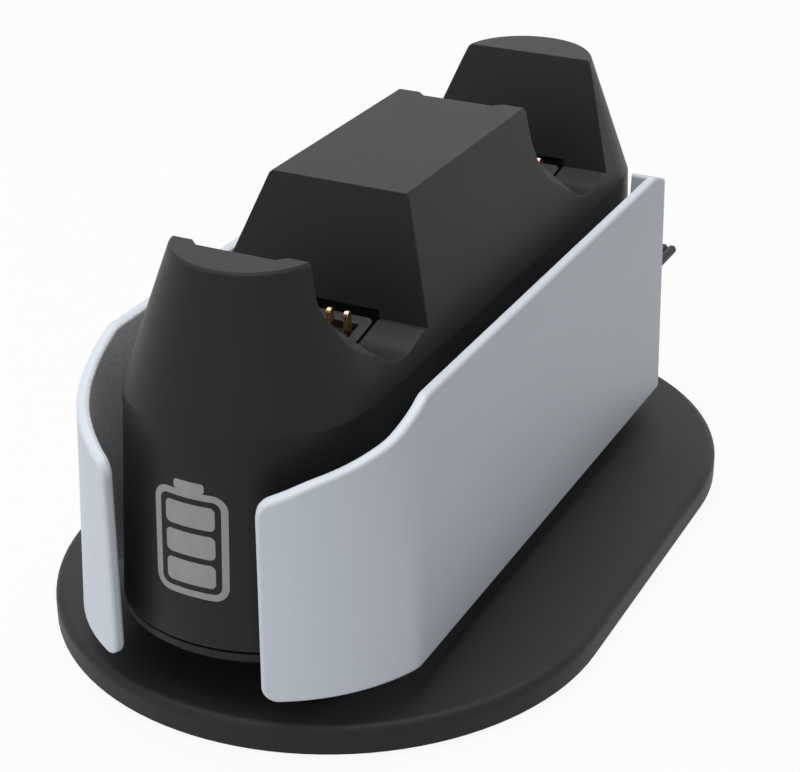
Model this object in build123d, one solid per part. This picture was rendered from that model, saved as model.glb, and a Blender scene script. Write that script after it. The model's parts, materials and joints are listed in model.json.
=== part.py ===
from build123d import *
import math
import os

os.makedirs("parts", exist_ok=True)

# A charging dock for two game controllers, in millimetres.
# The front end faces -Y, the long axis lies along Y and the feet stand on z = 0.

# Base plate, a stadium seen from above
base_radius = 65.2
base_half_straight = 36.8
base_bottom = 1.2
base_rim = 7.4
base_crest = 10.7
base_rim_round = 2.2
inner_rim_round = 0.5
base_wall = 2.4
dome_fullness = 0.75

# Plinth that carries the body clear of the base
plinth_radius = 20.0
plinth_half_straight = 62.0
plinth_top = 19.2

# Base cover, feet and cover screws
cover_clearance = 0.2
cover_bottom = 1.5
cover_top = 3.7
cover_seat = 0.7
cover_pilot_top = 6.6
cover_boss_radius = 4.0
cover_boss_x = base_radius - 18.9
cover_boss_y = base_half_straight + 6.5
cover_boss_side = base_radius - 7.9
cover_boss_places = [
    (cover_boss_x, cover_boss_y),
    (cover_boss_side, 0),
    (cover_boss_x, -cover_boss_y),
    (-cover_boss_x, cover_boss_y),
    (-cover_boss_side, 0),
    (-cover_boss_x, -cover_boss_y),
]
rib_thickness = 1.6
rib_clearance = 0.4
rib_places = [-34, -15, 15, 34]
foot_radius = 8.0
foot_top = 2.5
foot_clearance = 0.2
foot_round = 0.8
foot_x = base_radius - 31.9
foot_y = base_half_straight + base_radius - 40.4
foot_places = {
    "front_right": (foot_x, -foot_y),
    "front_left": (-foot_x, -foot_y),
    "rear_right": (foot_x, foot_y),
    "rear_left": (-foot_x, foot_y),
}

# Body: belt, top and lower edge, each as half width, end depth and end-centre offset
body_top = 101.5
belt_height = 70.9
wall_bottom = 22.9
top_half_width = 17.0
belt_half_width = 27.8
end_offset = 69.8
lower_end_depth = 22.0
lower_end_offset = 77.6
body_wall = 2.4
top_bevel = 0.6

# Tray that closes the body from below
tray_bottom = 19.2
tray_floor = 22.0
tray_inset = 0.45
tray_chamfer = 1.1
lip_top = 27.0
lip_thickness = 1.8
lip_clearance = 0.4
boss_radius = 3.5
boss_places = [(22.6, 66.0), (22.6, -66.0), (-22.6, 66.0), (-22.6, -66.0)]
boss_top = 40.0
boss_roof = 1.5
plinth_screw_places = [(12.0, 30.0), (12.0, -30.0), (-12.0, 30.0), (-12.0, -30.0)]
plinth_boss_top = 30.0

# Saddles: each is placed by the y of its row of contacts
saddle_places = {"front": -49.0, "rear": 56.0}
near_top = (-25.9, body_top)
near_bend = (-28.5, body_top - 10.4)
ramp_foot = (-13.0, body_top - 24.9)
trough_low = (-6.7, body_top - 27.7)
ledge = (5.2, body_top - 25.3)
far_foot = (6.9, body_top - 26.0)
far_top = (16.0, body_top)
near_bend_round = 8.0
ramp_round = 10.0
trough_round = 15.0
saddle_over = 6.0
saddle_reach = 60.0
recess_half_width = 9.0
recess_depth = 2.0
recess_bottom = body_top - 15.0

# Shallow scoop where the near side of a saddle runs out through the side wall
scoop_top = (-25.7, body_top)
scoop_foot = (-30.0, body_top - 17.1)
scoop_end = (-12.0, body_top - 25.0)
scoop_foot_round = 13.5
scoop_depth = 1.3
scoop_over = 0.2
scoop_side_top = (-24.4, body_top)
scoop_side_bend = (-26.9, body_top - 10.4)
scoop_side_end = (-12.0, body_top - 24.0)
scoop_side_round = 7.0

# Contact block in each trough floor
block_half_width = 14.1
block_front = -9.0
block_back = 5.4
block_bottom = body_top - 34.0
block_groove = 0.75
block_edge_round = 2.0
opening_back = 8.2
opening_round = 2.6
opening_top = body_top - 24.3
flange_half_width = 22.0
flange_top = body_top - 32.0
flange_half_depth = 4.5
block_screw_x = 18.6
block_pilot_top = body_top - 28.3
block_boss_radius = 3.2
spacer_bottom = body_top - 37.5
slot_near = 4.6
slot_far = 11.8
slot_half_depth = 2.5
slot_floor = body_top - 27.7
slot_gap = 0.45

# Spring contacts, bent strips that stand in the slots
contact_places = {
    "outer_right": 10.3,
    "inner_right": 6.1,
    "inner_left": -6.1,
    "outer_left": -10.3,
}
contact_top = body_top - 22.0
contact_width = 0.95
contact_thickness = 0.35
contact_bend = 1.05
contact_foot = 3.0
contact_gap = 0.15

# Contact boards
board_thickness = 1.6
contact_board_half_width = 22.0
contact_board_half_depth = 7.5

# Side panels
panel_thickness = 2.7
panel_bottom = 15.0
panel_top = 75.4
panel_low_half_width = 41.3
panel_top_half_width = 38.3
low_wrap = {"radius": 44.0, "centre": -62.0, "corner": 8.0, "turn": 22.3}
top_wrap = {"radius": 40.0, "centre": -67.3, "corner": 40.0, "turn": 16.6}
wrap_start = 10.0
front_edge_x = 17.6
front_edge_round = 3.6
panel_edge_round = 0.9
rim_height = 40.0
sharp_limit = 0.85
panel_low_rear = 73.6
panel_top_rear = 77.4
rear_corner = 5.0
rear_edge_x = 28.9
edge_front = (-110.0, 56.2)
edge_wrap = (-95.0, 64.8)
edge_corner = (-79.5, 69.0)
edge_level = (-67.5, 74.3)
edge_rear = (67.5, 75.1)
edge_drop = (80.0, 70.2)
edge_blends = [16.0, 16.0, 6.0, 6.0]
post_radius = 4.0
post_height = 35.5
post_places = [-29.0, 8.0, 46.0]
post_clearance = 0.05
post_pilot_depth = 9.0

# Rear cable hooks, each a bar of two rounded prongs
hook_x = 34.0
hook_height = 45.2
hook_tip = 93.6
prong_radius = 1.2
prong_tip_round = 1.0
prong_spacing = 2.3
hook_root = 1.0
hook_clearance = 0.1
hook_head = 1.6
hook_head_reach = 2.2
hook_head_shift = -1.6

# Main board, its parts and the inlet at the rear
main_half_width = 17.0
main_front = 44.0
main_back = 91.0
main_bottom = 26.2
main_top = main_bottom + board_thickness
main_corner = 6.0
main_post_places = [(13.5, 48.0), (-13.5, 48.0), (13.5, 80.0), (-13.5, 80.0)]
chip_size = (5.0, 5.0, 1.1)
chip_places = [(-9.0, 64.0), (9.0, 64.0)]
coil_size = (7.0, 7.0, 3.2)
coil_corner = 1.0
coil_place = (0.0, 72.0)
inlet_width = 8.94
inlet_height = 3.16
inlet_corner = 1.5
inlet_wall = 0.3
inlet_back = 91.6
inlet_mouth = 98.6
inlet_clearance = 0.4
tongue_width = 6.7
tongue_height = 0.7
tongue_mouth = 97.4

# Internal leads
lead_radius = 1.3
lead_bend = 14.0
lead_low_bend = 2.6
front_lead_y = -54.0
front_lead_end = 54.0
rear_lead_y = 53.0

# Screws and the holes they turn into
screw_radius = 1.3
screw_head_radius = 2.4
screw_head = 1.6
screw_clearance = 0.2
pilot_clearance = 0.05
cover_screw = 3.2
plinth_screw = 8.0
tray_screw = 12.0
panel_screw = 9.0
block_screw = 10.4
main_screw = 4.0

# Cuts run this far past a face, or clear of the whole dock
past = 1.0
far = 300.0
near = 0.01


def column(radius, bottom, top, x, y):
    middle = (bottom + top) / 2
    return Pos(x, y, middle) * Cylinder(radius, top - bottom)


def block(x0, x1, y0, y1, z0, z1):
    middle = Pos((x0 + x1) / 2, (y0 + y1) / 2, (z0 + z1) / 2)
    return middle * Box(x1 - x0, y1 - y0, z1 - z0)


def stadium(radius, half_straight, bottom, top):
    plan = SlotCenterToCenter(2 * half_straight, 2 * radius, rotation=90)
    return extrude(Pos(0, 0, bottom) * plan, amount=top - bottom)


def screw(length):
    # Head on z = 0 and below, shank up to z = length
    head = column(screw_head_radius, -screw_head, 0, 0, 0)
    return head + column(screw_radius, 0, length, 0, 0)


def body_section(half_width, depth, offset, height):
    # A closed outline with straight sides and elliptical ends
    right = Line((half_width, -offset), (half_width, offset))
    back = EllipticalCenterArc((0, offset), half_width, depth, 0, arc_size=180)
    left = Line((-half_width, offset), (-half_width, -offset))
    front = EllipticalCenterArc((0, -offset), half_width, depth, 180, arc_size=180)
    return Pos(0, 0, height) * make_face([right, back, left, front])


def body_form(inset, bottom, top):
    lower_half_width = belt_half_width - inset
    low = body_section(lower_half_width, lower_end_depth - inset, lower_end_offset, bottom)
    belt = body_section(lower_half_width, lower_half_width, end_offset, belt_height)
    edge_width = top_half_width - inset
    edge = body_section(edge_width, edge_width, end_offset, top - top_bevel)
    crown_width = edge_width - top_bevel
    crown = body_section(crown_width, crown_width, end_offset, top)
    return loft([low, belt], ruled=True) + loft([belt, edge], ruled=True) + loft([edge, crown], ruled=True)


def saddle_face(grow):
    # The U-shaped side view of a saddle, open at the top
    rounds = [near_bend_round, ramp_round, trough_round]
    bowl = FilletPolyline(near_top, near_bend, ramp_foot, trough_low, ledge, radius=rounds)
    rest = Polyline(
        ledge,
        far_foot,
        far_top,
        (far_top[0], body_top + saddle_over),
        (near_top[0], body_top + saddle_over),
        near_top,
    )
    face = make_face(bowl.edges() + rest.edges())
    if grow:
        face = offset(face, amount=grow)
    return face


def saddle_cut(place, grow=0.0):
    side_view = Plane.YZ * Pos(place, 0) * saddle_face(grow)
    return extrude(side_view, amount=saddle_reach, both=True)


def scoop_face(place, points, round_radius, depth):
    # A saddle's near side drawn on the leaning side wall, that far below its surface
    lean = (belt_half_width - top_half_width) / (body_top - belt_height)
    stretch = math.hypot(1, lean)
    outward = Vector(1, 0, lean).normalized()
    start = Vector(top_half_width, place, body_top) - outward * depth
    wall_plane = Plane(start, x_dir=(0, 1, 0), z_dir=outward)
    drawn = [(y, (z - body_top) * stretch) for y, z in points]
    over = (drawn[-1][0], drawn[0][1])
    bowl = FilletPolyline(*drawn, radius=round_radius)
    rest = Polyline(drawn[-1], over, drawn[0])
    return wall_plane * make_face(bowl.edges() + rest.edges())


def saddle_scoop(place):
    side = scoop_face(place, [scoop_side_top, scoop_side_bend, scoop_side_end], scoop_side_round, scoop_depth)
    mouth = scoop_face(place, [scoop_top, scoop_foot, scoop_end], scoop_foot_round, -scoop_over)
    right = loft([side, mouth], ruled=True)
    return right + mirrored(right)


def near_wall_recess(place):
    # A shallow flared channel down the near wall, following its lean
    lean = Vector(0, near_bend[0] - near_top[0], near_bend[1] - near_top[1]).normalized()
    start = place + near_top[0]
    flare = recess_half_width + recess_depth
    plan = make_face(
        Polyline(
            (-flare, start),
            (-recess_half_width, start - recess_depth),
            (recess_half_width, start - recess_depth),
            (flare, start),
            (flare, start + recess_depth),
            (-flare, start + recess_depth),
            close=True,
        )
    )
    depth = (body_top - recess_bottom) / -lean.Z
    down = extrude(Pos(0, 0, body_top) * plan, amount=depth, dir=lean)
    up = extrude(Pos(0, 0, body_top) * plan, amount=saddle_over, dir=-lean)
    return down + up


def base_form(inset, bottom):
    # Wall, rim and shallow dome, spun at both ends and drawn along between them
    edge = base_radius - inset
    rim = base_rim - inset
    crest = base_crest - inset
    sag = (base_crest - base_rim) * dome_fullness
    half = make_face(
        [
            Line((0, bottom), (edge, bottom)),
            Line((edge, bottom), (edge, rim)),
            ThreePointArc((edge, rim), (edge / 2, rim + sag), (0, crest)),
            Line((0, crest), (0, bottom)),
        ]
    )
    shoulder = half.vertices().group_by(Axis.X)[-1].sort_by(Axis.Y)[-1]
    half = fillet(shoulder, max(base_rim_round - inset, inner_rim_round))
    upright = Plane.XZ * half
    end = Pos(0, base_half_straight, 0) * revolve(upright, Axis.Z, 180)
    bar = extrude(upright, amount=base_half_straight, both=True)
    return bar + mirror(bar, Plane.YZ) + end + mirror(end, Plane.XZ)


def make_base_shell():
    inside = base_form(base_wall, base_bottom - past)
    shell = base_form(0, base_bottom) - inside
    shell += stadium(plinth_radius, plinth_half_straight, base_rim, plinth_top)
    shell -= stadium(plinth_radius - base_wall, plinth_half_straight, 0, plinth_top - base_wall)
    rib_bottom = cover_top + rib_clearance
    stiffening = []
    for x, y in cover_boss_places:
        stiffening.append(column(cover_boss_radius, cover_top, base_crest, x, y))
    for y in rib_places:
        for side in (1, -1):
            ends = sorted([side * (plinth_radius - base_wall / 2), side * base_radius])
            stiffening.append(
                block(*ends, y - rib_thickness / 2, y + rib_thickness / 2, rib_bottom, base_crest)
            )
    for piece in stiffening:
        shell += piece & inside
    for x, y in cover_boss_places:
        shell -= column(screw_radius + pilot_clearance, 0, cover_pilot_top, x, y)
    for x, y in plinth_screw_places:
        shell -= column(screw_radius + screw_clearance, 0, plinth_top + past, x, y)
    return shell


def make_base_cover():
    plate = stadium(base_radius - base_wall - cover_clearance, base_half_straight, cover_bottom, cover_top)
    for x, y in cover_boss_places:
        plate -= column(screw_radius + screw_clearance, 0, cover_top + past, x, y)
        plate -= column(screw_head_radius + screw_clearance, 0, cover_top - cover_seat, x, y)
    for x, y in foot_places.values():
        plate -= column(foot_radius + foot_clearance, 0, foot_top, x, y)
    return plate


def make_foot(x, y):
    pad = column(foot_radius, 0, foot_top, x, y)
    return fillet(pad.edges().group_by(Axis.Z)[0], foot_round)


def make_body_tray():
    low_width = belt_half_width - tray_inset
    low_depth = lower_end_depth - tray_inset
    outline = body_section(low_width, low_depth, lower_end_offset, tray_bottom)
    plate = extrude(outline, tray_floor - tray_bottom)
    plate = chamfer(plate.edges().group_by(Axis.Z)[0], tray_chamfer)
    lip_outlines = []
    for inset in (body_wall + lip_clearance, body_wall + lip_clearance + lip_thickness):
        lip_width = belt_half_width - inset
        lip_outlines.append(body_section(lip_width, lower_end_depth - inset, lower_end_offset, tray_floor))
    tray = plate + extrude(lip_outlines[0] - lip_outlines[1], lip_top - tray_floor)
    for x, y in boss_places:
        tray -= column(boss_radius + lip_clearance, tray_floor, lip_top + past, x, y)
        tray -= column(screw_radius + screw_clearance, tray_bottom - past, tray_floor + past, x, y)
        head_radius = screw_head_radius + screw_clearance
        tray -= column(head_radius, tray_bottom - past, tray_bottom + screw_head, x, y)
    for x, y in plinth_screw_places:
        tray += column(boss_radius, tray_floor, plinth_boss_top, x, y)
        tray -= column(screw_radius + pilot_clearance, tray_bottom - past, plinth_boss_top - boss_roof, x, y)
    for x, y in main_post_places:
        tray += column(boss_radius, tray_floor, main_bottom, x, y)
        tray -= column(screw_radius + pilot_clearance, tray_floor, main_bottom + past, x, y)
    return tray


def inlet_plan(grow):
    return RectangleRounded(inlet_width + 2 * grow, inlet_height + 2 * grow, inlet_corner + grow)


def inlet_bar(grow, start, end):
    across = Plane((0, start, main_top + inlet_height / 2), x_dir=(1, 0, 0), z_dir=(0, 1, 0))
    return extrude(across * inlet_plan(grow), amount=end - start)


def make_body_housing():
    shell = body_form(0, wall_bottom, body_top)
    cavity = body_form(body_wall, wall_bottom - past, body_top - body_wall)
    for place in saddle_places.values():
        shell -= saddle_cut(place)
        shell -= near_wall_recess(place)
        shell -= saddle_scoop(place)
        cavity -= saddle_cut(place, body_wall)
    shell -= cavity
    for place in saddle_places.values():
        groove = block_half_width + block_groove
        pocket = block(-groove, groove, place + block_front - block_groove, place + opening_back,
                       block_bottom, opening_top)
        shell -= fillet(pocket.edges().filter_by(Axis.Z).group_by(Axis.Y)[-1], opening_round)
        for x in (block_screw_x, -block_screw_x):
            hanger = column(block_boss_radius, flange_top, body_top, x, place)
            hanger -= saddle_cut(place)
            shell += hanger & body_form(0, wall_bottom, body_top)
            shell -= column(screw_radius + pilot_clearance, flange_top - past, block_pilot_top, x, place)
    inside = body_form(body_wall / 2, tray_floor - past, body_top)
    for x, y in boss_places:
        shell += column(boss_radius, tray_floor, boss_top, x, y) & inside
        shell -= column(screw_radius + pilot_clearance, tray_floor - past, boss_top - boss_roof, x, y)
    for side in (1, -1):
        for y in post_places:
            inner = side * (belt_half_width - 2 * body_wall)
            shell -= across_column(screw_radius + screw_clearance, inner, side * (belt_half_width + past), y)
    shell -= inlet_bar(inlet_clearance, inlet_back, far)
    return shell


def across_column(radius, x0, x1, y):
    middle = Pos((x0 + x1) / 2, y, post_height)
    return middle * Rot(0, 90, 0) * Cylinder(radius, abs(x1 - x0))


def panel_plan(half_width, wrap, inset, height):
    # Wrapped front, straight side and turned-in rear of one panel, seen from above
    turn = math.radians(wrap["turn"])
    reach = wrap["radius"] - wrap["corner"]
    centre_x = half_width - wrap["corner"] - reach * math.cos(turn)
    centre_y = wrap["centre"]
    radius = wrap["radius"] - inset
    side = half_width - inset
    rear = panel_rear(height) - inset
    start = (wrap_start, centre_y - math.sqrt(radius ** 2 - (wrap_start - centre_x) ** 2))
    meet = (centre_x + radius * math.cos(turn), centre_y - radius * math.sin(turn))
    side_start = (side, centre_y - reach * math.sin(turn))
    blank = make_face(
        [
            RadiusArc(start, meet, -radius),
            RadiusArc(meet, side_start, inset - wrap["corner"]),
            Line(side_start, (side, rear)),
            Line((side, rear), (wrap_start, rear)),
            Line((wrap_start, rear), start),
        ]
    )
    corner = blank.vertices().group_by(Axis.X)[-1].sort_by(Axis.Y)[-1]
    return Pos(0, 0, height) * fillet(corner, rear_corner - inset)


def panel_rear(height):
    # The rear end leans backwards from its lower edge to its upper edge
    lean = (panel_top_rear - panel_low_rear) / (panel_top - panel_bottom)
    return panel_low_rear + lean * (height - panel_bottom)


def panel_half_width(height):
    # The side leans inwards from its lower edge to its upper edge
    lean = (panel_low_half_width - panel_top_half_width) / (panel_top - panel_bottom)
    return panel_low_half_width - lean * (height - panel_bottom)


def panel_form(inset, over):
    bottom = panel_bottom - over
    top = panel_top + over
    low = panel_plan(panel_half_width(bottom), low_wrap, inset, bottom)
    high = panel_plan(panel_half_width(top), top_wrap, inset, top)
    return loft([low, high], ruled=True)


def sharp_edges(solid):
    # Edges where two faces meet at a clear angle
    meeting = {}
    for face in solid.faces():
        for line in face.edges():
            meeting.setdefault(hash(line), (line, []))[1].append(face)
    sharp = []
    for line, faces in meeting.values():
        middle = line @ 0.5
        if len(faces) == 2 and faces[0].normal_at(middle).dot(faces[1].normal_at(middle)) < sharp_limit:
            sharp.append(line)
    return sharp


def panel_rim(wall):
    # The outer edges and the upper edges, apart from those round the rear end
    core = panel_form(panel_thickness / 2, past)
    rim = []
    for line in sharp_edges(wall):
        box = line.bounding_box()
        middle = line @ 0.5
        at_rear = box.max.X < rear_edge_x + near and box.min.Y > 0
        if not at_rear and (middle.Z > rim_height or not core.is_inside(middle)):
            rim.append(line)
    return rim


def on_plane(line, plane):
    return all(abs(plane.to_local_coords(line @ part).Z) < near for part in (0, 0.5, 1))


def make_right_panel():
    wall = panel_form(0, 0) - panel_form(panel_thickness, past)
    pivot = Vector(0, low_wrap["centre"])
    edge = Vector(front_edge_x, pivot.Y - math.sqrt(low_wrap["radius"] ** 2 - front_edge_x ** 2))
    beyond = pivot + (edge - pivot) * 2
    before = make_face(
        Polyline((-past, pivot.Y), (0, pivot.Y), (beyond.X, beyond.Y), (-past, beyond.Y), close=True)
    )
    wall -= extrude(before, amount=far)
    wall -= block(-past, rear_edge_x, 0, far, 0, far)
    upper = FilletPolyline(
        edge_front, edge_wrap, edge_corner, edge_level, edge_rear, edge_drop, radius=edge_blends
    )
    over = Polyline(edge_drop, (edge_drop[0], far), (edge_front[0], far), edge_front)
    above = make_face(upper.edges() + over.edges())
    wall -= extrude(Plane.YZ * above, amount=far)
    end_plane = Plane(edge, z_dir=(pivot.Y - edge.Y, edge.X))
    ends = [line for line in wall.edges() if on_plane(line, end_plane) and line.length < 2 * panel_thickness]
    wall = fillet(ends, front_edge_round)
    wall = fillet(panel_rim(wall), panel_edge_round)
    for y in post_places:
        start = belt_half_width + post_clearance
        wall += across_column(post_radius, start, panel_half_width(post_height) - panel_thickness / 2, y)
        wall -= across_column(screw_radius + pilot_clearance, start - past, start + post_pilot_depth, y)
    rear = panel_rear(hook_height)
    wall -= hook_bar(hook_clearance, rear - 2 * panel_thickness, rear + 2 * past)
    return wall


def hook_bar(grow, start, end):
    across = Plane((hook_x, start, hook_height), x_dir=(1, 0, 0), z_dir=(0, 1, 0))
    bar = SlotCenterToCenter(prong_spacing, 2 * (prong_radius + grow))
    return extrude(across * bar, amount=end - start)


def make_right_hook():
    head_x = hook_x + hook_head_shift
    head_z = prong_radius + hook_head_reach
    seat = panel_rear(hook_height - head_z) - panel_thickness
    hook = hook_bar(0, seat, panel_rear(hook_height) + hook_root)
    hook += block(head_x - hook_head_reach, head_x + hook_head_reach, seat - hook_head, seat,
                  hook_height - head_z, hook_height + head_z)
    for side in (1, -1):
        middle = Pos(hook_x + side * prong_spacing / 2, (seat + hook_tip) / 2, hook_height)
        prong = middle * Rot(90, 0, 0) * Cylinder(prong_radius, hook_tip - seat)
        hook += fillet(prong.edges().group_by(Axis.Y)[-1], prong_tip_round)
    return hook


def make_contact_block(place):
    front = place + block_front
    back = place + block_back
    body = block(-block_half_width, block_half_width, front, back, block_bottom, body_top)
    upright = body.edges().filter_by(Axis.Z).group_by(Axis.Y)[-1]
    body = fillet(upright, block_edge_round)
    body -= saddle_cut(place)
    body += block(-flange_half_width, flange_half_width, place - flange_half_depth, place + flange_half_depth,
                  block_bottom, flange_top)
    for side in (1, -1):
        x = side * block_screw_x
        body += column(block_boss_radius, spacer_bottom, block_bottom, x, place)
        body -= column(screw_radius + screw_clearance, spacer_bottom - past, flange_top + past, x, place)
        ends = sorted([side * slot_near, side * slot_far])
        body -= block(*ends, place - slot_half_depth, place + slot_half_depth, slot_floor, body_top)
    for x in contact_places.values():
        half_width = contact_width / 2 + slot_gap
        half_depth = contact_bend + slot_gap
        body -= block(x - half_width, x + half_width, place - half_depth, place + half_depth, 0, body_top)
    return body


def make_contact(x, place):
    # Two legs under a round bend, with feet turned out beneath the block
    centre = contact_top - contact_bend
    inner = contact_bend - contact_thickness
    foot_upper = block_bottom - contact_gap
    foot_lower = foot_upper - contact_thickness
    bend = make_face(
        [
            Line((-contact_bend, foot_lower), (contact_bend, foot_lower)),
            Line((contact_bend, foot_lower), (contact_bend, centre)),
            CenterArc((0, centre), contact_bend, 0, 180),
            Line((-contact_bend, centre), (-contact_bend, foot_lower)),
        ]
    )
    hollow = make_face(
        [
            Line((-inner, foot_lower), (inner, foot_lower)),
            Line((inner, foot_lower), (inner, centre)),
            CenterArc((0, centre), inner, 0, 180),
            Line((-inner, centre), (-inner, foot_lower)),
        ]
    )
    strip = bend - hollow
    for side in (1, -1):
        middle = Pos(side * (inner + contact_foot) / 2, (foot_upper + foot_lower) / 2)
        strip += middle * Rectangle(contact_foot - inner, contact_thickness)
    upright = Plane((x, place, 0), x_dir=(0, 1, 0), z_dir=(1, 0, 0))
    return extrude(upright * strip, amount=contact_width / 2, both=True)


def make_contact_board(place):
    half_depth = contact_board_half_depth
    plate = block(-contact_board_half_width, contact_board_half_width, place - half_depth, place + half_depth,
                  spacer_bottom - board_thickness, spacer_bottom)
    for x in (block_screw_x, -block_screw_x):
        plate -= column(screw_radius + screw_clearance, 0, far, x, place)
    return plate


def make_main_board():
    plate = block(-main_half_width, main_half_width, main_front, main_back, main_bottom, main_top)
    back = plate.edges().filter_by(Axis.Z).group_by(Axis.Y)[-1]
    plate = chamfer(back, main_corner)
    for x, y in main_post_places:
        plate -= column(screw_radius + screw_clearance, 0, far, x, y)
    return plate


def make_charge_parts():
    pieces = []
    for x, y in chip_places:
        pieces.append(Pos(x, y, main_top + chip_size[2] / 2) * Box(*chip_size))
    coil = Pos(*coil_place, main_top + coil_size[2] / 2) * Box(*coil_size)
    pieces.append(chamfer(coil.edges().filter_by(Axis.Z), coil_corner))
    return pieces


def make_inlet_shell():
    shell = inlet_bar(0, inlet_back, inlet_mouth) - inlet_bar(-inlet_wall, inlet_back + inlet_wall, far)
    return shell


def make_inlet_tongue():
    middle = main_top + inlet_height / 2
    half = tongue_height / 2
    start = inlet_back + inlet_wall
    tongue = block(-tongue_width / 2, tongue_width / 2, start, tongue_mouth, middle - half, middle + half)
    edge = tongue.edges().filter_by(Axis.X).group_by(Axis.Y)[-1]
    return chamfer(edge, tongue_height / 4)


def tube(points, radii):
    path = FilletPolyline(*points, radius=radii)
    start = Plane(origin=path @ 0, z_dir=path % 0)
    return sweep(start * Circle(lead_radius), path=path)


def make_front_lead():
    low = tray_floor + lead_radius
    points = [
        (0, front_lead_y, spacer_bottom - board_thickness),
        (0, front_lead_y, low),
        (0, front_lead_end, low),
        (0, front_lead_end, main_bottom),
    ]
    return tube(points, [lead_bend, lead_low_bend])


def make_rear_lead():
    return column(lead_radius, main_top, spacer_bottom - board_thickness, 0, rear_lead_y)


def screws_up(places, seat, length):
    return [Pos(x, y, seat) * screw(length) for x, y in places]


def screws_down(places, seat, length):
    return [Pos(x, y, seat) * Rot(180, 0, 0) * screw(length) for x, y in places]


def screws_out(side, length):
    seat = side * (belt_half_width - body_wall)
    return [Pos(seat, y, post_height) * Rot(0, side * 90, 0) * screw(length) for y in post_places]


def mirrored(solid):
    return mirror(solid, Plane.YZ)


nodes = {}
nodes["base_shell"] = make_base_shell()
nodes["base_cover"] = make_base_cover()
nodes["base_screws"] = Compound(children=screws_up(cover_boss_places, cover_top - cover_seat, cover_screw))
for name, place in foot_places.items():
    nodes[f"{name}_foot"] = make_foot(*place)
plinth_seat = plinth_top - base_wall
nodes["plinth_screws"] = Compound(children=screws_up(plinth_screw_places, plinth_seat, plinth_screw))
nodes["body_tray"] = make_body_tray()
nodes["tray_screws"] = Compound(children=screws_up(boss_places, tray_bottom + screw_head, tray_screw))
nodes["body_housing"] = make_body_housing()
nodes["right_panel"] = make_right_panel()
nodes["left_panel"] = mirrored(nodes["right_panel"])
nodes["right_panel_screws"] = Compound(children=screws_out(1, panel_screw))
nodes["left_panel_screws"] = Compound(children=screws_out(-1, panel_screw))
nodes["right_cable_hook"] = make_right_hook()
nodes["left_cable_hook"] = mirrored(nodes["right_cable_hook"])
for end, place in saddle_places.items():
    nodes[f"{end}_contact_block"] = make_contact_block(place)
    nodes[f"{end}_contact_board"] = make_contact_board(place)
    seat = spacer_bottom - board_thickness
    places = [(block_screw_x, place), (-block_screw_x, place)]
    nodes[f"{end}_contact_screws"] = Compound(children=screws_up(places, seat, block_screw))
    for name, x in contact_places.items():
        nodes[f"{end}_{name}_contact"] = make_contact(x, place)
nodes["main_board"] = make_main_board()
nodes["main_board_screws"] = Compound(children=screws_down(main_post_places, main_top, main_screw))
nodes["charge_parts"] = Compound(children=make_charge_parts())
nodes["inlet_shell"] = make_inlet_shell()
nodes["inlet_tongue"] = make_inlet_tongue()
nodes["front_lead"] = make_front_lead()
nodes["rear_lead"] = make_rear_lead()

for name, solid in nodes.items():
    export_step(solid, f"parts/{name}.step")
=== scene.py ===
import json
import math

import bpy
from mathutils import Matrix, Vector


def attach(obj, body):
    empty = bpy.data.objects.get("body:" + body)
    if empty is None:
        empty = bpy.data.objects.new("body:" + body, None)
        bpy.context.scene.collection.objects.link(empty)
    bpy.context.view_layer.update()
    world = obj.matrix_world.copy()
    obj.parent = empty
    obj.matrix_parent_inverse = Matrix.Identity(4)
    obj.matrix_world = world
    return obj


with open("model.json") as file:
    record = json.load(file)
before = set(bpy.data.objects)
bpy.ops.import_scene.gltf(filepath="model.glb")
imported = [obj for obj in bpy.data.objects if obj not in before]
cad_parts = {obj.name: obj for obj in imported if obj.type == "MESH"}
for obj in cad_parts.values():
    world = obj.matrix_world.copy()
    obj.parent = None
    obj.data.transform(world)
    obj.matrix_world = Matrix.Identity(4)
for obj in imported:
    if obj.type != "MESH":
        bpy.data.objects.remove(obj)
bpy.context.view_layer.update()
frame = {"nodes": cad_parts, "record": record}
dock = "dock"  # the body that everything fixed rides on
mm = 0.001


class Wire:  # one socket of a finish: maths on it adds Math nodes
    def __init__(self, finish, socket):
        self.finish = finish
        self.socket = socket

    def maths(self, operation, first, second):
        return self.finish.node("ShaderNodeMath", {"operation": operation}, {0: first, 1: second})

    def __add__(self, other):
        return self.maths("ADD", self, other)

    def __radd__(self, other):
        return self.maths("ADD", other, self)

    def __sub__(self, other):
        return self.maths("SUBTRACT", self, other)

    def __rsub__(self, other):
        return self.maths("SUBTRACT", other, self)

    def __mul__(self, other):
        return self.maths("MULTIPLY", self, other)

    def __rmul__(self, other):
        return self.maths("MULTIPLY", other, self)

    def clamped(self):
        return self.finish.node("ShaderNodeClamp", {}, {"Value": self})


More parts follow.
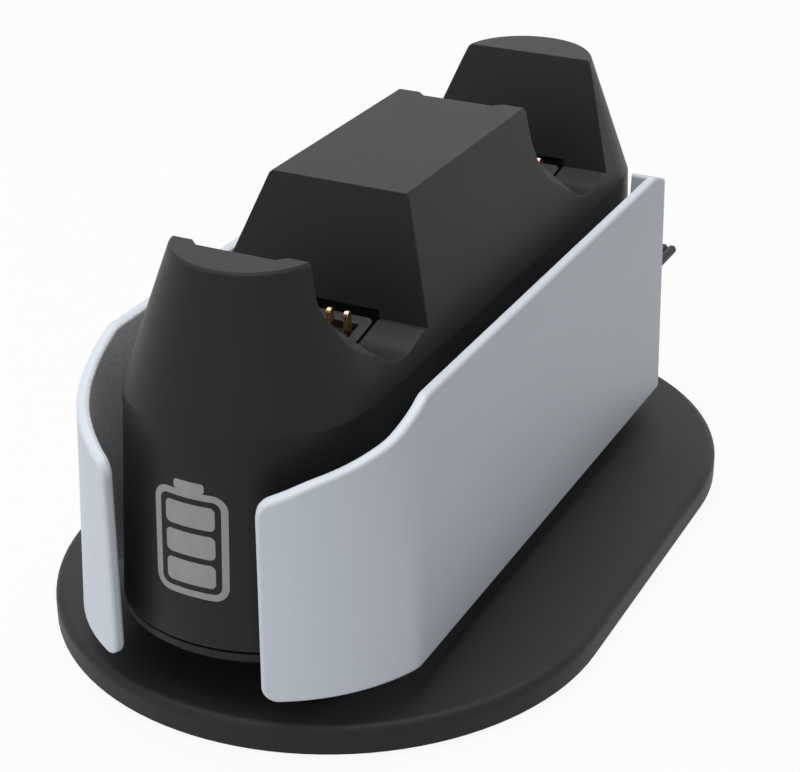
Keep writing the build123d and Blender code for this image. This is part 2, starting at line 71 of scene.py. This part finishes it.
class Finish:  # one material, built node by node
    def __init__(self, name):
        self.material = bpy.data.materials.new(name)
        self.material.use_nodes = True
        self.tree = self.material.node_tree
        self.tree.nodes.clear()
        self.place = self.node("ShaderNodeTexCoord", {}, {}, "Object")

    def node(self, kind, settings, sockets, output=0):
        made = self.tree.nodes.new(kind)
        for key, value in settings.items():
            setattr(made, key, value)
        for key, value in sockets.items():
            if isinstance(value, Wire):
                self.tree.links.new(value.socket, made.inputs[key])
            else:
                made.inputs[key].default_value = value
        return Wire(self, made.outputs[output]) if output is not None else None

    def noise(self, scale, detail=2.0, rough=0.5, stretch=None):
        where = self.place
        if stretch:
            where = self.node("ShaderNodeMapping", {}, {"Vector": where, "Scale": stretch})
        return self.node(
            "ShaderNodeTexNoise",
            {},
            {"Vector": where, "Scale": scale, "Detail": detail, "Roughness": rough},
        )

    def blendColour(self, factor, first, second):
        return self.node(
            "ShaderNodeMix", {"data_type": "RGBA"}, {0: factor, 6: first, 7: second}, 2
        )

    def axis(self, name):
        return self.node("ShaderNodeSeparateXYZ", {}, {0: self.place}, name)

    def bump(self, height, strength, depth, under=None):
        sockets = {"Height": height, "Strength": strength, "Distance": depth}
        if under:
            sockets["Normal"] = under
        return self.node("ShaderNodeBump", {}, sockets)

    def softEdges(self, radius):
        return self.node("ShaderNodeBevel", {"samples": 6}, {"Radius": radius})

    def edgeMask(self, rounded, gain):  # 1 along sharp edges, 0 on open faces
        flat = self.node("ShaderNodeNewGeometry", {}, {}, "Normal")
        same = self.node(
            "ShaderNodeVectorMath", {"operation": "DOT_PRODUCT"}, {0: rounded, 1: flat}, "Value"
        )
        return ((1.0 - same) * gain).clamped()

    def close(self, colour, rough, normal=None, metal=0.0, fixed=None):
        sockets = {"Base Color": colour, "Roughness": rough, "Metallic": metal}
        if normal:
            sockets["Normal"] = normal
        sockets.update(fixed or {})
        shader = self.node("ShaderNodeBsdfPrincipled", {}, sockets)
        self.node("ShaderNodeOutputMaterial", {}, {"Surface": shader}, None)
        return self.material


def grey(level, tint=(1.0, 1.0, 1.0)):
    return tuple(level * part for part in tint) + (1.0,)


blackShell = {  # moulded black plastic: fine spark grain, cloudy sheen, paler edges that are painted highlight and partly wear
    "grain": 2600.0,
    "cloud": 38.0,
    "coolTint": (0.985, 1.0, 1.02),
    "edge": 0.35 * mm,
    "edgeHighlightAndWearGain": 5.0,
    "edgeHighlightAndWearShare": 0.35,
    "edgeHighlightAndWearLevel": 2.2,
    "cloudSpread": 0.14,
    "grainStrength": 0.35,
    "specular": 0.22,
}


def blackPlastic(name, level, rough, grainDepth, edge=blackShell["edge"]):
    finish = Finish(name)
    grain = finish.noise(blackShell["grain"], 3.0, 0.6)
    cloud = finish.noise(blackShell["cloud"], 3.0, 0.55)
    rounded = finish.softEdges(edge)
    edgeHighlightAndWear = finish.edgeMask(rounded, blackShell["edgeHighlightAndWearGain"])
    tint = blackShell["coolTint"]
    spread = blackShell["cloudSpread"]
    colour = finish.blendColour(
        cloud, grey(level * (1.0 - spread), tint), grey(level * (1.0 + spread), tint)
    )
    pale = grey(level * blackShell["edgeHighlightAndWearLevel"], tint)
    # painted highlight, partly wear: a paler colour is mixed in along the edges
    colour = finish.blendColour(edgeHighlightAndWear * blackShell["edgeHighlightAndWearShare"], colour, pale)
    sheen = rough + (cloud - 0.5) * 0.10 + (grain - 0.5) * 0.12 - edgeHighlightAndWear * 0.06
    normal = finish.bump(grain, blackShell["grainStrength"], grainDepth, rounded)
    return finish.close(
        colour, sheen, normal, fixed={"Specular IOR Level": blackShell["specular"]}
    )


panelShell = {  # pale silver-white satin outside, spark-grained inside; the inside colour is painted paler to lift the shade the body casts there
    "pale": (0.545, 0.587, 0.641, 1.0),
    "deep": (0.445, 0.483, 0.538, 1.0),
    # inner colours: painted light, far paler than the outside to lift the body's shade on the inner
    # faces
    "innerPaintedLightPale": (0.930, 0.940, 0.960, 1.0),
    "innerPaintedLightDeep": (0.620, 0.632, 0.655, 1.0),
    "speckle": 2900.0,
    "flow": 26.0,
    "edge": 0.25 * mm,
    "rough": 0.47,
    "specular": 0.42,
    "grainDepth": 0.05 * mm,
    "outerGrain": 0.18,  # share of the inner grain's height left outside
    "straight": (-62.0 * mm, 78.0 * mm),  # y where the side runs straight
    "turnIn": 14.0 * mm,  # how far a face turns in before it takes the inner finish
    "turnGain": 90.0,
}


def insideOfPanel(finish):  # 1 on faces that look at the body
    normal = finish.node("ShaderNodeNewGeometry", {}, {}, "Normal")
    first, last = panelShell["straight"]
    x, y = finish.axis("X"), finish.axis("Y")
    level = finish.node("ShaderNodeClamp", {}, {"Value": y, "Min": first, "Max": last})
    outX = finish.node("ShaderNodeSeparateXYZ", {}, {0: normal}, "X")
    outY = finish.node("ShaderNodeSeparateXYZ", {}, {0: normal}, "Y")
    inward = (outX * x + outY * (y - level)) * -1.0
    return ((inward - panelShell["turnIn"]) * panelShell["turnGain"]).clamped()


def satinPlastic(name):
    finish = Finish(name)
    speckle = finish.noise(panelShell["speckle"], 1.0, 0.6)
    flow = finish.noise(panelShell["flow"], 2.0, 0.5, (1.0, 0.35, 1.0))
    rounded = finish.softEdges(panelShell["edge"])
    inside = insideOfPanel(finish)
    share = ((speckle - 0.5) * 0.7 + (flow - 0.5) * 0.25 + 0.4).clamped()
    innerShare = ((speckle - 0.5) * 4.5 + 0.5).clamped()
    outer = finish.blendColour(share, panelShell["pale"], panelShell["deep"])
    inner = finish.blendColour(innerShare, panelShell["innerPaintedLightPale"], panelShell["innerPaintedLightDeep"])
    # painted light: faces that look at the body take the paler inner colour
    colour = finish.blendColour(inside, outer, inner)
    sheen = panelShell["rough"] + (speckle - 0.5) * 0.2 + (flow - 0.5) * 0.06 + inside * 0.2
    outerGrain = panelShell["outerGrain"]
    height = speckle * (outerGrain + inside * (1.0 - outerGrain))
    normal = finish.bump(height, 0.5, panelShell["grainDepth"], rounded)
    return finish.close(colour, sheen, normal, fixed={"Specular IOR Level": panelShell["specular"]})


goldStrip = {"bright": (0.86, 0.60, 0.22, 1.0), "worn": (0.62, 0.40, 0.13, 1.0)}
copperTip = {  # where a pad rubs, the plating has gone pinkish
    "bright": (0.86, 0.50, 0.40, 1.0),
    "worn": (0.64, 0.33, 0.25, 1.0),
    "from": 77.6 * mm,
    "gain": 900.0,
}


strip = {"drawn": 3200.0, "patch": 620.0, "edge": 0.32 * mm, "rough": 0.24, "depth": 0.01 * mm}


def springMetal(name, tip=None):
    finish = Finish(name)
    drawn = finish.noise(strip["drawn"], 2.0, 0.5, (1.0, 0.08, 0.08))
    patch = finish.noise(strip["patch"], 3.0, 0.6)
    rounded = finish.softEdges(strip["edge"])
    rub = (patch - 0.25).clamped()
    tone = finish.blendColour(rub, goldStrip["bright"], goldStrip["worn"])
    if tip:
        top = ((finish.axis("Z") - tip["from"]) * tip["gain"]).clamped()
        tone = finish.blendColour(top, tone, finish.blendColour(rub, tip["bright"], tip["worn"]))
    sheen = strip["rough"] + (drawn - 0.5) * 0.18 + (patch - 0.5) * 0.12
    return finish.close(tone, sheen, finish.bump(drawn, 0.15, strip["depth"], rounded), 1.0)


steel = {"brushed": 2100.0, "patch": 240.0, "edge": 0.15 * mm, "depth": 0.01 * mm}


def steelFinish(name, level, rough):
    finish = Finish(name)
    brushed = finish.noise(steel["brushed"], 2.0, 0.5, (0.15, 1.0, 1.0))
    patch = finish.noise(steel["patch"], 3.0, 0.55)
    rounded = finish.softEdges(steel["edge"])
    tone = finish.blendColour(patch, grey(level * 0.8), grey(level * 1.1))
    sheen = rough + (brushed - 0.5) * 0.2 + (patch - 0.5) * 0.1
    return finish.close(tone, sheen, finish.bump(brushed, 0.2, steel["depth"], rounded), 1.0)


rubber = {
    "pores": 3400.0,
    "dust": 140.0,
    "levels": (0.016, 0.034),
    "rough": 0.78,
    "depth": 0.04 * mm,
    "edge": 0.3 * mm,
    "specular": 0.25,
}


def rubberFinish(name):
    finish = Finish(name)
    pores = finish.noise(rubber["pores"], 3.0, 0.65)
    dust = finish.noise(rubber["dust"], 4.0, 0.6)
    dark, dusty = rubber["levels"]
    tone = finish.blendColour(dust, grey(dark), grey(dusty))
    sheen = rubber["rough"] + (dust - 0.5) * 0.16
    normal = finish.bump(pores, 0.5, rubber["depth"], finish.softEdges(rubber["edge"]))
    return finish.close(tone, sheen, normal, fixed={"Specular IOR Level": rubber["specular"]})


board = {
    "weave": 900.0,
    "tracks": {"Scale": 160.0, "Mortar Size": 0.035, "Mortar Smooth": 0.1},
    "stain": 180.0,
    "deep": (0.008, 0.075, 0.030, 1.0),
    "green": (0.014, 0.115, 0.048, 1.0),
    "track": (0.045, 0.215, 0.085, 1.0),
    "rough": 0.36,
    "depth": 0.03 * mm,
}


def boardFinish(name):
    finish = Finish(name)
    weave = finish.node("ShaderNodeTexWave", {}, {"Vector": finish.place, "Scale": board["weave"]})
    tracks = finish.node(
        "ShaderNodeTexBrick",
        {"offset": 0.37},
        {"Vector": finish.place, **board["tracks"]},
        "Fac",
    )
    stain = finish.noise(board["stain"], 2.0)
    mask = finish.blendColour(stain, board["deep"], board["green"])
    tone = finish.blendColour(tracks * 0.55, mask, board["track"])
    lift = tracks * 0.7 + weave * 0.1
    sheen = board["rough"] + (stain - 0.5) * 0.15 + weave * 0.05
    return finish.close(tone, sheen, finish.bump(lift, 0.3, board["depth"]))


sleeve = {
    "drawn": 1500.0,
    "deep": (0.23, 0.018, 0.014, 1.0),
    "red": (0.32, 0.028, 0.02, 1.0),
    "rough": 0.48,
    "depth": 0.02 * mm,
}


def sleeveFinish(name):
    finish = Finish(name)
    drawn = finish.noise(sleeve["drawn"], 2.0, 0.5, (1.0, 0.1, 1.0))
    tone = finish.blendColour(drawn, sleeve["deep"], sleeve["red"])
    sheen = sleeve["rough"] + (drawn - 0.5) * 0.15
    return finish.close(tone, sheen, finish.bump(drawn, 0.2, sleeve["depth"]))


ink = {
    "screen": 3000.0,
    "thin": 420.0,
    "levels": (0.19, 0.26),
    "tint": (0.98, 1.0, 1.02),
    "rough": 0.55,
    "depth": 0.015 * mm,
}


def printFinish(name):
    finish = Finish(name)
    screen = finish.noise(ink["screen"], 2.0, 0.6)
    thin = finish.noise(ink["thin"], 3.0, 0.6)
    dark, light = [grey(level, ink["tint"]) for level in ink["levels"]]
    tone = finish.blendColour(thin, dark, light)
    sheen = ink["rough"] + (screen - 0.5) * 0.2
    return finish.close(tone, sheen, finish.bump(screen, 0.2, ink["depth"]))


print("finishes: making")
baseBlack = blackPlastic("baseBlack", 0.012, 0.52, 0.05 * mm)
bodyBlack = blackPlastic("bodyBlack", 0.008, 0.47, 0.035 * mm)
blockBlack = blackPlastic("blockBlack", 0.020, 0.42, 0.02 * mm, 0.2 * mm)
coverBlack = blackPlastic("coverBlack", 0.016, 0.58, 0.06 * mm)
hookBlack = blackPlastic("hookBlack", 0.018, 0.45, 0.02 * mm, 0.2 * mm)
chipBlack = blackPlastic("chipBlack", 0.022, 0.5, 0.02 * mm, 0.15 * mm)
tongueBlack = blackPlastic("tongueBlack", 0.014, 0.4, 0.01 * mm, 0.1 * mm)
panelSatin = satinPlastic("panelSatin")
goldContact = springMetal("goldContact")
copperContact = springMetal("copperContact", copperTip)
screwSteel = steelFinish("screwSteel", 0.42, 0.34)
inletSteel = steelFinish("inletSteel", 0.62, 0.28)
footRubber = rubberFinish("footRubber")
boardGreen = boardFinish("boardGreen")
leadSleeve = sleeveFinish("leadSleeve")
printGrey = printFinish("printGrey")

slotFinish = {
    "base_black": baseBlack,
    "cover_black": coverBlack,
    "body_black": bodyBlack,
    "block_black": blockBlack,
    "hook_black": hookBlack,
    "panel_satin": panelSatin,
    "gold_contact": goldContact,
    "copper_contact": copperContact,
    "foot_rubber": footRubber,
    "screw_steel": screwSteel,
    "board_green": boardGreen,
    "chip_black": chipBlack,
    "inlet_steel": inletSteel,
    "tongue_black": tongueBlack,
    "lead_sleeve": leadSleeve,
}
for entry in frame["record"]["subparts"]:
    mesh = frame["nodes"][entry["node"]].data
    mesh.materials.clear()
    mesh.materials.append(slotFinish[entry["material_slot"]])
print("finishes: set on", len(frame["nodes"]), "nodes")


def dropSelection():
    bpy.ops.object.select_all(action="DESELECT")


def keepOnly(piece):
    dropSelection()
    piece.select_set(True)
    bpy.context.view_layer.objects.active = piece


batteryPrint = {  # pad-printed charge sign on the front wall
    "middle": 46.0 * mm,
    "size": (17.0 * mm, 24.0 * mm),
    "corner": 3.4 * mm,
    "capCorner": 0.7 * mm,
    "barCorner": 1.2 * mm,
    "cornerSteps": 8,
    "line": 1.5 * mm,
    "cap": (7.0 * mm, 2.2 * mm),
    "bars": 3,
    "barGap": 1.3 * mm,
    "strip": 0.6 * mm,
    "lift": 0.05 * mm,
    "film": 0.04 * mm,
    "ahead": -130.0 * mm,
}


def flatPlate(width, height, across, up, corner):
    dropSelection()
    bpy.ops.mesh.primitive_plane_add(size=1.0, location=(0.0, 0.0, 0.0))
    plate = bpy.context.object
    bpy.ops.object.mode_set(mode="EDIT")
    bpy.ops.mesh.select_all(action="SELECT")
    bpy.ops.transform.resize(value=(width, height, 1.0))
    bpy.ops.mesh.bevel(offset=corner, segments=batteryPrint["cornerSteps"], affect="VERTICES")
    bpy.ops.mesh.select_all(action="SELECT")
    bpy.ops.transform.translate(value=(across, up, 0.0))
    bpy.ops.object.mode_set(mode="OBJECT")
    return plate


def hollow(plate, line):  # leaves only a rim of that width
    keepOnly(plate)
    bpy.ops.object.mode_set(mode="EDIT")
    bpy.ops.mesh.select_all(action="SELECT")
    bpy.ops.mesh.inset(thickness=line)
    bpy.ops.mesh.delete(type="FACE")
    bpy.ops.object.mode_set(mode="OBJECT")


def makeBatteryPrint(spec):
    width, height = spec["size"]
    capWide, capTall = spec["cap"]
    rim = flatPlate(width, height, 0.0, 0.0, spec["corner"])
    hollow(rim, spec["line"])
    parts = [rim]
    capUp = height / 2 + capTall / 2
    parts.append(flatPlate(capWide, capTall, 0.0, capUp, spec["capCorner"]))
    inner = height - 2 * (spec["line"] + spec["barGap"])
    barWide = width - 2 * (spec["line"] + spec["barGap"])
    barTall = (inner - (spec["bars"] - 1) * spec["barGap"]) / spec["bars"]
    for count in range(spec["bars"]):
        up = -inner / 2 + barTall / 2 + count * (barTall + spec["barGap"])
        parts.append(flatPlate(barWide, barTall, 0.0, up, spec["barCorner"]))
    dropSelection()
    for part in parts:
        part.select_set(True)
    bpy.context.view_layer.objects.active = rim
    bpy.ops.object.join()
    rim.name = "battery_print"
    bpy.ops.object.mode_set(mode="EDIT")
    strips = math.ceil(width / spec["strip"])
    for count in range(1, strips):  # upright cuts, so that it can follow the round wall
        bpy.ops.mesh.select_all(action="SELECT")
        cut = -width / 2 + width * count / strips
        bpy.ops.mesh.bisect(plane_co=(cut, 0.0, 0.0), plane_no=(1.0, 0.0, 0.0))
    bpy.ops.mesh.select_all(action="SELECT")
    bpy.ops.transform.rotate(
        value=-math.radians(90.0), orient_axis="X", center_override=(0.0, 0.0, 0.0)
    )
    bpy.ops.transform.translate(value=(0.0, spec["ahead"], spec["middle"]))
    bpy.ops.object.mode_set(mode="OBJECT")
    return rim


sign = makeBatteryPrint(batteryPrint)
low, high = Vector(sign.bound_box[0]), Vector(sign.bound_box[6])
print("battery sign flat:", [round(v, 4) for v in low], [round(v, 4) for v in high])
keepOnly(sign)
wrapOn = sign.modifiers.new("wrapOn", "SHRINKWRAP")
wrapOn.target = frame["nodes"]["body_housing"]
wrapOn.wrap_method = "PROJECT"
wrapOn.use_project_y = True
wrapOn.use_positive_direction = True
wrapOn.use_negative_direction = False
wrapOn.wrap_mode = "ABOVE_SURFACE"
wrapOn.offset = batteryPrint["lift"]
bpy.ops.object.modifier_apply(modifier="wrapOn")
film = sign.modifiers.new("film", "SOLIDIFY")
film.thickness = batteryPrint["film"]
film.offset = 0.0
bpy.ops.object.modifier_apply(modifier="film")
sign.data.materials.append(printGrey)
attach(sign, dock)
print("battery sign at", [round(v, 4) for v in Vector(sign.bound_box[0])])

view = {  # where the photograph was taken from
    "azimuth": 26.259,
    "elevation": 26.541,
    "place": (190.04 * mm, -388.18 * mm, 253.36 * mm),
    "lens": 89.44,
    "sensor": 36.0,
}
dropSelection()
bpy.ops.object.camera_add(
    location=view["place"],
    rotation=(math.radians(90.0 - view["elevation"]), 0.0, math.radians(view["azimuth"])),
)
camera = bpy.context.object
camera.data.lens = view["lens"]
camera.data.sensor_width = view["sensor"]
camera.data.sensor_fit = "HORIZONTAL"
camera.data.clip_start = 0.01
bpy.context.scene.camera = camera

studio = {  # lamp name: place, aim, size, watts, shows in reflections
    "overhead": ((-0.15, 0.05, 1.25), (0.0, 0.0, 0.05), (1.2, 1.2), 18.0, True),
    "leftFill": ((-1.00, -0.95, 0.55), (0.0, 0.0, 0.05), (0.9, 0.9), 3.8, False),
    "frontFill": ((0.00, -1.50, 0.40), (0.0, 0.0, 0.05), (0.9, 0.9), 8.0, False),
}
roomLight = 0.24
for lampName, (place, aim, size, watts, mirrored) in studio.items():
    turn = (Vector(aim) - Vector(place)).to_track_quat("-Z", "Y").to_euler()
    bpy.ops.object.light_add(type="AREA", location=place, rotation=turn)
    lamp = bpy.context.object
    lamp.name = lampName
    lamp.data.shape = "RECTANGLE"
    lamp.data.size, lamp.data.size_y = size
    lamp.data.energy = watts
    lamp.visible_glossy = mirrored


class StageFinish(Finish):
    def __init__(self, tree):
        self.tree = tree
        self.tree.nodes.clear()

    def seenDirectly(self):  # 1 for what the camera, a reflection or glass looks at
        rays = self.node("ShaderNodeLightPath", {}, {}, "Is Camera Ray")
        path = rays.socket.node.outputs
        mirrored = Wire(self, path["Is Glossy Ray"])
        throughGlass = Wire(self, path["Is Transmission Ray"])
        return (rays + mirrored + throughGlass).clamped()


room = bpy.data.worlds.new("room")
bpy.context.scene.world = room
room.use_nodes = True
sky = StageFinish(room.node_tree)
strength = roomLight + sky.seenDirectly() * (1.0 - roomLight)
glow = sky.node("ShaderNodeBackground", {}, {"Color": (1.0, 1.0, 1.0, 1.0), "Strength": strength})
sky.node("ShaderNodeOutputWorld", {}, {"Surface": glow}, None)

floorSpec = {"size": 8.0, "pale": (0.58, 0.58, 0.58, 1.0), "whiteShare": 0.93, "low": -0.0002}
dropSelection()
bpy.ops.mesh.primitive_plane_add(size=floorSpec["size"], location=(0.0, 0.0, floorSpec["low"]))
floor = bpy.context.object
floor.name = "floor"
floorMaterial = bpy.data.materials.new("paleFloor")
floorMaterial.use_nodes = True
sweep = StageFinish(floorMaterial.node_tree)
dull = sweep.node("ShaderNodeBsdfDiffuse", {}, {"Color": floorSpec["pale"]})
white = sweep.node("ShaderNodeEmission", {}, {"Color": (1.0, 1.0, 1.0, 1.0), "Strength": 1.0})
share = sweep.seenDirectly() * floorSpec["whiteShare"]
mixed = sweep.node("ShaderNodeMixShader", {}, {0: share, 1: dull, 2: white})
sweep.node("ShaderNodeOutputMaterial", {}, {"Surface": mixed}, None)
floor.data.materials.append(floorMaterial)

bpy.context.scene.view_settings.view_transform = "Standard"
print("studio: set")
